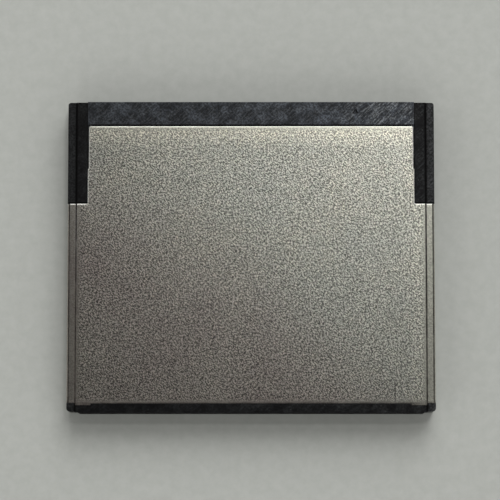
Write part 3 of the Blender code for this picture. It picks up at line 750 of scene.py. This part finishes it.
    def dirt_and_shade(self, skin: Skin) -> Socket:
        """Painted shade in the step and on the outer bend, a darker rear edge and dirt in a scratch of the
        upper plate.

        Args:
            skin: The material's nodes.

        Returns:
            How dirty it is, from 0 to 1.
        """
        across, along, height = skin.xyz
        aside = skin.maths("ABSOLUTE", across)
        bend_x = self.places.step_x + self.bend_from_step
        # Painted shade: dark lines in the step and on the outer bend
        step = skin.effect(self.step_shade, value=aside, place=self.places.step_x)
        bend = skin.effect(self.bend_shade, value=aside, place=bend_x)
        # Darker along the plate's rear edge
        rear = skin.fade(along, self.rear_darkening, self.places.plate_rear_y)
        scratch = skin.effect(self.scratch, value=across, place=self.scratch_x)
        end = skin.fade(along, self.scratch_end, self.places.plate_rear_y)
        upper = skin.maths("GREATER_THAN", height, self.places.middle_z)
        scratch = skin.times(scratch, skin.times(end, upper))
        lines = skin.maths("MAXIMUM", skin.maths("MAXIMUM", step, bend), skin.maths("MAXIMUM", rear, scratch))
        broken = skin.effect(self.broken)
        return skin.times(lines, skin.weighed(broken, self.broken_share))


@dataclass(frozen=True)
class MouldedPlastic(Finish):
    """Black moulded plastic with a fine etched face, mottled, with dust and scuffs, painted shade on its
    edges, step and seams, and painted lighter to the right.
    """

    places: Places
    base: Colour = (0.0018, 0.0018, 0.002)
    bloom: Colour = (0.008, 0.0083, 0.0085)
    blooms: Blotches = Blotches(0.0018, 0.4, 0.13)

    # The outer rails are a little paler, and the whole is painted lighter to the right
    rail: Colour = (0.016, 0.0165, 0.017)
    rail_fade: Fade = Fade(0.0, 0.0001, 0.0, 0.6)
    painted_light_sweep: Fade = Fade(-0.02, 0.02, 0.75, 1.3)

    # Scuffs, mostly on the right, and dust
    scuffed: Colour = (0.13, 0.138, 0.145)
    scuffs: Scuffs = Scuffs(0.00016, -0.75, 0.5)
    scuff_fade: Fade = Fade(0.018, 0.023, 0.3, 1.0)
    scuff_share: float = 0.12
    dusty: Colour = (0.16, 0.16, 0.155)
    dust: Specks = Specks(0.0005, 0.22, 0.15)
    dust_share: float = 0.2

    # Painted shade: the edges, the step beside each rail and the seams to the covers are darkened to near
    # black
    shadow: Colour = (0.0006, 0.0006, 0.0006)
    edges: SoftEdges = SoftEdges(0.00009)
    edge_share: float = 0.9
    step: Line = Line(0.0001, 0.00022)
    seam: Line = Line(0.0002, 0.00004)
    seam_share: float = 0.95

    # Gloss and grain; the upright rear face is matt
    gloss: float = 0.11
    roughness: float = 0.38
    bloom_roughness: float = 0.12
    matt_rear: Fade = Fade(0.0, 0.0001, 1.0, 0.0)
    grain: Pebbles = Pebbles(0.0002, stretch=0.9)
    mottle: Fade = Fade(0.0, 1.0, 0.5, 1.5)
    depth: float = 0.000004

    def surface(self, skin: Skin) -> dict[str, Feed]:
        """The plastic's colour, gloss and grain.

        Args:
            skin: The material's nodes.

        Returns:
            What feeds the shader's inputs.
        """
        across, along, _ = skin.xyz
        blooms = skin.effect(self.blooms)
        edges = skin.effect(self.edges)
        seams = self.seams(skin)
        grain = skin.effect(self.grain)
        colour = self.worn(skin, skin.blend(blooms, self.base, self.bloom))
        # Painted shade: the softened edges, the step and the seams are darkened towards near black
        edge_shade = skin.times(self.edge_mask(skin, edges), self.edge_share)
        colour = skin.blend(edge_shade, colour, self.shadow)
        colour = skin.blend(skin.times(seams, self.seam_share), colour, self.shadow)
        # Painted light: darker to the left and lighter to the right
        mottle = skin.times(skin.fade(grain, self.mottle), skin.fade(across, self.painted_light_sweep))
        rough = skin.ramp(blooms, 0.0, 1.0, self.roughness, self.roughness + self.bloom_roughness)
        matt = skin.maths("MAXIMUM", seams, skin.fade(along, self.matt_rear, self.places.rear_y))
        return {
            "Base Color": skin.scaled(colour, mottle),
            "Roughness": skin.maths("MAXIMUM", rough, matt),
            "Specular IOR Level": self.gloss,
            "Normal": self.relief(skin, grain, self.depth, edges),
        }

    def worn(self, skin: Skin, colour: Socket) -> Socket:
        """The plastic's colour with its paler rails, scuffs and dust.

        Args:
            skin: The material's nodes.
            colour: The plastic's own colour.

        Returns:
            The worn colour.
        """
        across = skin.xyz[0]
        rails = skin.fade(skin.maths("ABSOLUTE", across), self.rail_fade, self.places.step_x)
        scuffs = skin.effect(self.scuffs)
        scuffs = skin.times(scuffs, skin.fade(across, self.scuff_fade))
        dust = skin.effect(self.dust)
        colour = skin.blend(rails, colour, self.rail)
        colour = skin.blend(skin.times(scuffs, self.scuff_share), colour, self.scuffed)
        return skin.blend(skin.times(dust, self.dust_share), colour, self.dusty)

    def seams(self, skin: Skin) -> Socket:
        """Where shade is painted: the step beside each rail, the front seam between the legs and the seam at
        the legs' feet.

        Args:
            skin: The material's nodes.

        Returns:
            A mask that is 1 in the step and the seams.
        """
        across, along, _ = skin.xyz
        aside = skin.maths("ABSOLUTE", across)
        between = skin.maths("LESS_THAN", aside, self.places.leg_x)
        seam_y = skin.ramp(between, 0.0, 1.0, self.places.foot_y, self.places.seam_y)
        step = skin.effect(self.step, value=aside, place=self.places.step_x)
        seam = skin.effect(self.seam, value=along, place=seam_y)
        return skin.maths("MAXIMUM", step, seam)


@dataclass(frozen=True)
class HousingPlastic(MouldedPlastic):
    """The connector housing's plastic: bluer, more bloomed and more scuffed than the frame's."""

    base: Colour = (0.0062, 0.0076, 0.0098)
    bloom: Colour = (0.034, 0.039, 0.047)
    blooms: Blotches = Blotches(0.0013, 0.42, 0.13)
    scuff_fade: Fade = Fade(0.0095, 0.0145, 0.3, 1.0)
    scuff_share: float = 0.55
    gloss: float = 0.22


@dataclass(frozen=True)
class PlatedMetal(Finish):
    """Bright plating over a formed or welded metal part, a little duller in patches."""

    bright: Colour = (0.83, 0.57, 0.22)
    dull: Colour = (0.62, 0.40, 0.17)
    patches: Blotches = Blotches(0.0009, 0.45, 0.2)
    roughness: float = 0.2
    dull_roughness: float = 0.18
    grain: Pebbles = Pebbles(0.0001, stretch=0.3, angle=1.57)
    depth: float = 0.000001

    def surface(self, skin: Skin) -> dict[str, Feed]:
        """The plating's colour and gloss.

        Args:
            skin: The material's nodes.

        Returns:
            What feeds the shader's inputs.
        """
        patches = skin.effect(self.patches)
        grain = skin.effect(self.grain)
        return {
            "Base Color": skin.blend(patches, self.bright, self.dull),
            "Roughness": skin.ramp(patches, 0.0, 1.0, self.roughness, self.roughness + self.dull_roughness),
            "Metallic": 1.0,
            "Normal": self.relief(skin, grain, self.depth),
        }


@dataclass(frozen=True)
class FiredBody(Finish):
    """The matt body of a small electronic part: epoxy, ferrite, ceramic or glaze, with a fine grain."""

    base: Colour = (0.012, 0.012, 0.013)
    fleck: Colour = (0.03, 0.03, 0.031)
    flecks: Specks = Specks(0.00016, 0.35, 0.3)
    fleck_share: float = 0.6
    patches: Blotches = Blotches(0.0012, 0.4, 0.2)
    patch_share: float = 0.35
    roughness: float = 0.55
    patch_roughness: float = 0.12
    grain: Pebbles = Pebbles(0.00008, stretch=1.0)
    depth: float = 0.000003

    def surface(self, skin: Skin) -> dict[str, Feed]:
        """The body's colour, gloss and grain.

        Args:
            skin: The material's nodes.

        Returns:
            What feeds the shader's inputs.
        """
        patches = skin.effect(self.patches)
        flecks = skin.effect(self.flecks)
        grain = skin.effect(self.grain)
        colour = skin.blend(skin.times(flecks, self.fleck_share), self.base, self.fleck)
        return {
            "Base Color": skin.blend(skin.times(patches, self.patch_share), colour, self.fleck),
            "Roughness": skin.ramp(patches, 0.0, 1.0, self.roughness, self.roughness + self.patch_roughness),
            "Normal": self.relief(skin, grain, self.depth),
        }


@dataclass(frozen=True)
class SolderMask(Finish):
    """Green solder mask, through which the glass weave shows faintly."""

    mask: Colour = (0.008, 0.075, 0.03)
    thin: Colour = (0.02, 0.13, 0.05)
    weave: float = 0.0005
    weave_share: float = 0.35
    patches: Blotches = Blotches(0.003, 0.5, 0.2)
    patch_share: float = 0.25
    gloss: Fade = Fade(0.0, 1.0, 0.32, 0.45)
    depth: float = 0.000003

    def surface(self, skin: Skin) -> dict[str, Feed]:
        """The mask's colour, gloss and weave.

        Args:
            skin: The material's nodes.

        Returns:
            What feeds the shader's inputs.
        """
        across, along, _ = skin.xyz
        turns = 2 * math.pi / self.weave
        warp = skin.maths("SINE", skin.times(across, turns))
        weft = skin.maths("SINE", skin.times(along, turns))
        woven = skin.ramp(skin.times(warp, weft), -1.0, 1.0)
        patches = skin.effect(self.patches)
        patched = skin.times(patches, self.patch_share)
        shown = skin.maths("MULTIPLY_ADD", woven, self.weave_share, patched)
        return {
            "Base Color": skin.blend(shown, self.mask, self.thin),
            "Roughness": skin.fade(patches, self.gloss),
            "Normal": self.relief(skin, woven, self.depth),
        }


@dataclass(frozen=True)
class TableTop(Finish):
    """The plain pale table, with a faint even grain."""

    slot: None = None
    pale: Colour = (0.445, 0.455, 0.43)
    grey: Colour = (0.40, 0.41, 0.385)
    grain: Blotches = Blotches(0.0012, 0.5, 0.3)
    roughness: float = 0.9
    gloss: float = 0.1

    def surface(self, skin: Skin) -> dict[str, Feed]:
        """The table's colour.

        Args:
            skin: The material's nodes.

        Returns:
            What feeds the shader's inputs.
        """
        grain = skin.effect(self.grain)
        return {
            "Base Color": skin.blend(grain, self.pale, self.grey),
            "Roughness": self.roughness,
            "Specular IOR Level": self.gloss,
        }


@dataclass
class Assembly:
    """One sub-assembly of the card: its CAD nodes, and what its finishes are made with."""

    nodes: Nodes
    effects: Effects
    places: Places

    def paint(self, finish: Finish, *stems: str) -> None:
        """Gives a finish to CAD nodes.

        Args:
            finish: The finish.
            stems: What the nodes' names start with.
        """
        made = finish.material(self.effects)
        for name in self.named(*stems):
            for place in self.nodes[name].material_slots:
                place.material = made
            LOG.info("%s has the finish of %s", name, finish.slot.value)

    def named(self, *stems: str) -> list[str]:
        """The names of the CAD nodes that start with any of the stems."""
        return [name for name in self.nodes if name.startswith(stems)]


@dataclass
class Shell(Assembly):
    """The moulded frame and the two folded covers."""

    def dress(self) -> None:
        """Finishes the frame and the covers."""
        self.paint(MouldedPlastic(Slot.FRAME, self.places), "frame")
        self.paint(PebbledSteel(Slot.COVER, self.places), "upper_cover", "lower_cover")


@dataclass
class Connector(Assembly):
    """The moulded connector housing and its contact springs."""

    plating: PlatedMetal = PlatedMetal(Slot.CONTACT)

    def dress(self) -> None:
        """Finishes the housing and the contacts."""
        self.paint(HousingPlastic(Slot.HOUSING, self.places), "connector_housing")
        self.paint(self.plating, "signal_contact", "power_contact")


@dataclass
class Electronics(Assembly):
    """The circuit board with its chips and small parts."""

    mask: SolderMask = SolderMask(Slot.BOARD)
    can: PlatedMetal = PlatedMetal(Slot.CRYSTAL, bright=(0.74, 0.72, 0.66), dull=(0.6, 0.58, 0.53))
    epoxy: FiredBody = FiredBody(Slot.CHIP)
    ferrite: FiredBody = FiredBody(
        Slot.INDUCTOR, base=(0.05, 0.05, 0.053), fleck=(0.09, 0.09, 0.09), roughness=0.7
    )
    ceramic: FiredBody = FiredBody(
        Slot.CAPACITOR, base=(0.33, 0.22, 0.13), fleck=(0.25, 0.16, 0.09), roughness=0.45
    )
    glaze: FiredBody = FiredBody(
        Slot.RESISTOR, base=(0.02, 0.022, 0.026), fleck=(0.04, 0.04, 0.045), roughness=0.35
    )

    def dress(self) -> None:
        """Finishes the board and each part on it."""
        self.paint(self.mask, "circuit_board")
        self.paint(self.can, "crystal_oscillator")
        self.paint(self.epoxy, "controller_chip", "flash_chip", "voltage_regulator")
        self.paint(self.ferrite, "power_inductor")
        self.paint(self.ceramic, "capacitor")
        self.paint(self.glaze, "resistor")


@dataclass(frozen=True)
class Fillet:
    """One concave wedge of solder: where it starts, its reach, width and height, and how it is turned."""

    start: Triple
    size: Triple
    turn: Triple


@dataclass(frozen=True)
class WedgeForm:
    """The form that the wedges share.

    Steps is how many cuts a wedge's slope has, hollow how deep its curve is, lip how high its thin end
    stays, flare how much wider that end is, and uneven the most by which a wedge is smaller than asked.
    """

    steps: int = 6
    hollow: float = 2.2
    lip: float = 0.04
    flare: float = 0.12
    uneven: float = 0.08


class WedgeTree(Group):
    """The Geometry Nodes tree that puts a concave wedge on each point of a mesh."""

    def __init__(self) -> None:
        """Builds the tree with its named inputs."""
        super().__init__(
            "solder_wedges",
            TreeKind.GEOMETRY,
            SocketKind.SHAPE,
            points=SocketKind.SHAPE,
            steps=SocketKind.COUNT,
            hollow=SocketKind.NUMBER,
            lip=SocketKind.NUMBER,
            flare=SocketKind.NUMBER,
            uneven=SocketKind.NUMBER,
            seed=SocketKind.COUNT,
            surface=SocketKind.FINISH,
        )
        whole = self.node("GeometryNodeRealizeInstances", {0: self.placed(self.wedge())}).outputs[0]
        feeds = {0: whole, "Material": self.given["Surface"]}
        self.give(self.node("GeometryNodeSetMaterial", feeds).outputs[0])

    def wedge(self) -> Socket:
        """Builds a unit wedge along +X, whose top falls in a hollow curve from 1 to its lip.

        Returns:
            The wedge's geometry.
        """
        block = self.node("GeometryNodeMeshCube", {"Vertices X": self.given["Steps"], "Vertices Y": 3})
        x, y, z = self.apart(self.node("GeometryNodeInputPosition").outputs[0])
        reach = self.maths("ADD", x, 0.5)
        rise = self.maths("ADD", z, 0.5)
        fall = self.maths("POWER", self.maths("SUBTRACT", 1.0, reach), self.given["Hollow"])
        over_lip = self.maths("SUBTRACT", 1.0, self.given["Lip"])
        height = self.times(rise, self.maths("MULTIPLY_ADD", fall, over_lip, self.given["Lip"]))
        width = self.times(y, self.maths("MULTIPLY_ADD", reach, self.given["Flare"], 1.0))
        feeds = {0: block.outputs[0], "Position": self.together(reach, width, height)}
        return self.node("GeometryNodeSetPosition", feeds).outputs[0]

    def placed(self, wedge: Socket) -> Socket:
        """Puts the wedge on each point, with the point's own size and turn, each a little uneven.

        Args:
            wedge: The wedge's geometry.

        Returns:
            The wedges, as instances.
        """
        feeds = {2: self.maths("SUBTRACT", 1.0, self.given["Uneven"]), 3: 1.0, "Seed": self.given["Seed"]}
        share = self.node("FunctionNodeRandomValue", feeds, data_type="FLOAT").outputs[1]
        turn = self.node("FunctionNodeEulerToRotation", {0: self.attribute("turn")}).outputs[0]
        feeds = {"Points": self.given["Points"], "Instance": wedge, "Rotation": turn}
        feeds["Scale"] = self.scaled(self.attribute("size"), share)
        return self.node("GeometryNodeInstanceOnPoints", feeds).outputs[0]

    def attribute(self, name: str) -> Socket:
        """A vector that each point carries."""
        feeds = {"Name": name}
        return self.node("GeometryNodeInputNamedAttribute", feeds, data_type="FLOAT_VECTOR").outputs[0]

    def identifiers(self) -> dict[str, str]:
        """The identifier of each socket, by its name."""
        return {item.name: item.identifier for item in self.tree.interface.items_tree}


@dataclass
class Solder(Assembly):
    """The solder that joins the contact tails and the small parts to the board."""

    tail_length: float = 0.0011
    tail_reach: float = 0.00016
    tail_height: float = 0.00013
    tail_seed: int = 1
    end_reach: float = 0.00022
    end_height_share: float = 0.6
    end_seed: int = 2
    form: WedgeForm = WedgeForm()
    tin: PlatedMetal = PlatedMetal(
        Slot.CRYSTAL, bright=(0.62, 0.63, 0.64), dull=(0.46, 0.465, 0.47), roughness=0.22
    )

    def build(self) -> None:
        """Makes the solder of the tails and of the parts' ends."""
        wedges = WedgeTree()
        finish = self.tin.material(self.effects)
        self.piece("tail_solder", self.tail_fillets(), wedges, finish, self.tail_seed)
        self.piece("part_solder", self.end_fillets(), wedges, finish, self.end_seed)

    def tail_fillets(self) -> list[Fillet]:
        """A fillet along each side of each contact tail, under the board.

        Returns:
            The fillets.
        """
        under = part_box("circuit_board")[0].z
        size = (self.tail_reach, self.tail_length, self.tail_height)
        fillets = []
        for name in self.named("signal_contact", "power_contact"):
            low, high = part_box(name)
            y = low.y + self.tail_length / 2 + self.tail_reach / 2
            fillets.append(Fillet((high.x, y, under), size, (math.pi, 0.0, 0.0)))
            fillets.append(Fillet((low.x, y, under), size, (math.pi, 0.0, math.pi)))
        return fillets

    def end_fillets(self) -> list[Fillet]:
        """A fillet at each end of each capacitor and resistor, on either face of the board.

        Returns:
            The fillets.
        """
        board_low, board_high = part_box("circuit_board")
        fillets = []
        for name in self.named("capacitor", "resistor"):
            low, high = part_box(name)
            above = low.z > board_low.z
            z = board_high.z if above else board_low.z
            size = (self.end_reach, high.y - low.y, (high.z - low.z) * self.end_height_share)
            flip = 0.0 if above else math.pi
            y = (low.y + high.y) / 2
            fillets.append(Fillet((high.x, y, z), size, (flip, 0.0, 0.0)))
            fillets.append(Fillet((low.x, y, z), size, (flip, 0.0, math.pi)))
        return fillets

    def piece(
        self, name: str, fillets: list[Fillet], wedges: WedgeTree, finish: bpy.types.Material, seed: int
    ) -> None:
        """Makes one piece of solder.

        Args:
            name: The piece's name.
            fillets: Its wedges.
            wedges: The tree that builds them.
            finish: Its material.
            seed: The seed of its uneven sizes.
        """
        spots = bpy.data.meshes.new(f"{name}_spots")
        spots.from_pydata([fillet.start for fillet in fillets], [], [])
        for label in ("size", "turn"):
            values = spots.attributes.new(label, "FLOAT_VECTOR", "POINT").data
            for value, fillet in zip(values, fillets):
                value.vector = getattr(fillet, label)
        piece = bpy.data.objects.new(name, spots)
        bpy.context.scene.collection.objects.link(piece)
        modifier = piece.modifiers.new("wedges", "NODES")
        modifier.node_group = wedges.tree
        identifiers = wedges.identifiers()
        for label, value in (asdict(self.form) | {"seed": seed, "surface": finish}).items():
            modifier[identifiers[label.capitalize()]] = value
        graph = bpy.context.evaluated_depsgraph_get()
        mesh = bpy.data.meshes.new_from_object(piece.evaluated_get(graph))
        piece.modifiers.remove(modifier)
        mesh.name = name
        piece.data = mesh
        bpy.data.meshes.remove(spots)
        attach(piece, "root")
        LOG.info("%s: %d fillets, %d faces", name, len(fillets), len(mesh.polygons))


@dataclass
class Camera:
    """The photograph's view: from above, a little behind the card's rear edge."""

    distance: float = 0.3
    lean: float = math.radians(5.76)
    lens: float = 183.3
    aim: Vector = field(default_factory=lambda: Vector((-0.00013, 0.00093, 0.0018)))
    nearest: float = 0.01
    furthest: float = 20.0

    def build(self) -> None:
        """Makes the camera and sets it as the scene's."""
        data = bpy.data.cameras.new("camera")
        data.lens = self.lens
        data.clip_start = self.nearest
        data.clip_end = self.furthest
        camera = bpy.data.objects.new("camera", data)
        back, up = math.sin(self.lean), math.cos(self.lean)
        camera.location = (self.aim.x, -back * self.distance, up * self.distance)
        camera.rotation_euler = (self.aim - camera.location).to_track_quat("-Z", "Y").to_euler()
        bpy.context.scene.collection.objects.link(camera)
        bpy.context.scene.camera = camera


@dataclass(frozen=True)
class Softbox:
    """One round soft lamp, placed by its direction from the card in degrees."""

    name: str
    azimuth: float
    from_zenith: float
    distance: float
    size: float
    power: float

    def away(self) -> Vector:
        """The direction from the card to the lamp."""
        turn, fall = math.radians(self.azimuth), math.radians(self.from_zenith)
        return Vector((math.cos(turn) * math.sin(fall), math.sin(turn) * math.sin(fall), math.cos(fall)))

    def build(self) -> None:
        """Makes the lamp, aimed at the card."""
        data = bpy.data.lights.new(self.name, "AREA")
        data.shape = "DISK"
        data.size = self.size
        data.energy = self.power
        lamp = bpy.data.objects.new(self.name, data)
        lamp.location = self.away() * self.distance
        lamp.rotation_euler = self.away().to_track_quat("Z", "Y").to_euler()
        lamp.visible_camera = False
        bpy.context.scene.collection.objects.link(lamp)


@dataclass
class Studio:
    """The table, the surround and the soft lamps."""

    effects: Effects
    table_size: float = 3.0
    walls: Fade = Fade(-0.5, 0.6, 1.3, 0.6)
    ceiling_edge: float = 0.65
    ceiling_full: float = 0.88
    overhead: float = 0.01
    backdrop: float = 0.62
    white: Colour = (1.0, 1.0, 0.98)
    key: Softbox = Softbox("key_softbox", 77, 49, 1.1, 0.9, 9.2)
    top: Softbox = Softbox("top_softbox", 62, 20, 1.2, 0.12, 1.35)

    def build(self) -> None:
        """Makes the surround, the lamps and the table."""
        bpy.context.scene.view_settings.view_transform = "Standard"
        self.surround()
        self.key.build()
        self.top.build()
        self.table()

    def surround(self) -> None:
        """Makes pale walls under a dark ceiling for the card, and a plain pale backdrop for the camera."""
        world = bpy.data.worlds.new("studio")
        world.use_nodes = True
        bpy.context.scene.world = world
        tree = Tree(world.node_tree)
        looked = tree.node("ShaderNodeTexCoord").outputs["Generated"]
        walls = tree.fade(tree.dot(looked, self.key.away()), self.walls)
        lit = tree.ramp(tree.apart(looked)[2], self.ceiling_edge, self.ceiling_full, walls, self.overhead)
        seen = tree.node("ShaderNodeLightPath").outputs["Is Camera Ray"]
        strength = tree.node("ShaderNodeMix", {0: seen, 2: lit, 3: self.backdrop}).outputs[0]
        light = tree.node("ShaderNodeBackground", {"Color": (*self.white, 1.0), "Strength": strength})
        tree.node("ShaderNodeOutputWorld", {"Surface": light.outputs[0]})

    def table(self) -> None:
        """Makes the table top under the card."""
        half = self.table_size / 2
        corners = [(-half, -half, 0), (half, -half, 0), (half, half, 0), (-half, half, 0)]
        mesh = bpy.data.meshes.new("table")
        mesh.from_pydata(corners, [], [(0, 1, 2, 3)])
        mesh.materials.append(TableTop().material(self.effects))
        table = bpy.data.objects.new("table", mesh)
        bpy.context.scene.collection.objects.link(table)


def main() -> None:
    """Sets up the studio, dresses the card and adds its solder."""
    logging.basicConfig(level=logging.INFO, format="%(message)s")
    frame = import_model()
    places = Places.of_card()
    effects = Effects()
    Camera().build()
    Studio(effects).build()
    for assembly in (Shell, Connector, Electronics):
        assembly(frame["nodes"], effects, places).dress()
    Solder(frame["nodes"], effects, places).build()


if __name__ == "__main__":
    main()
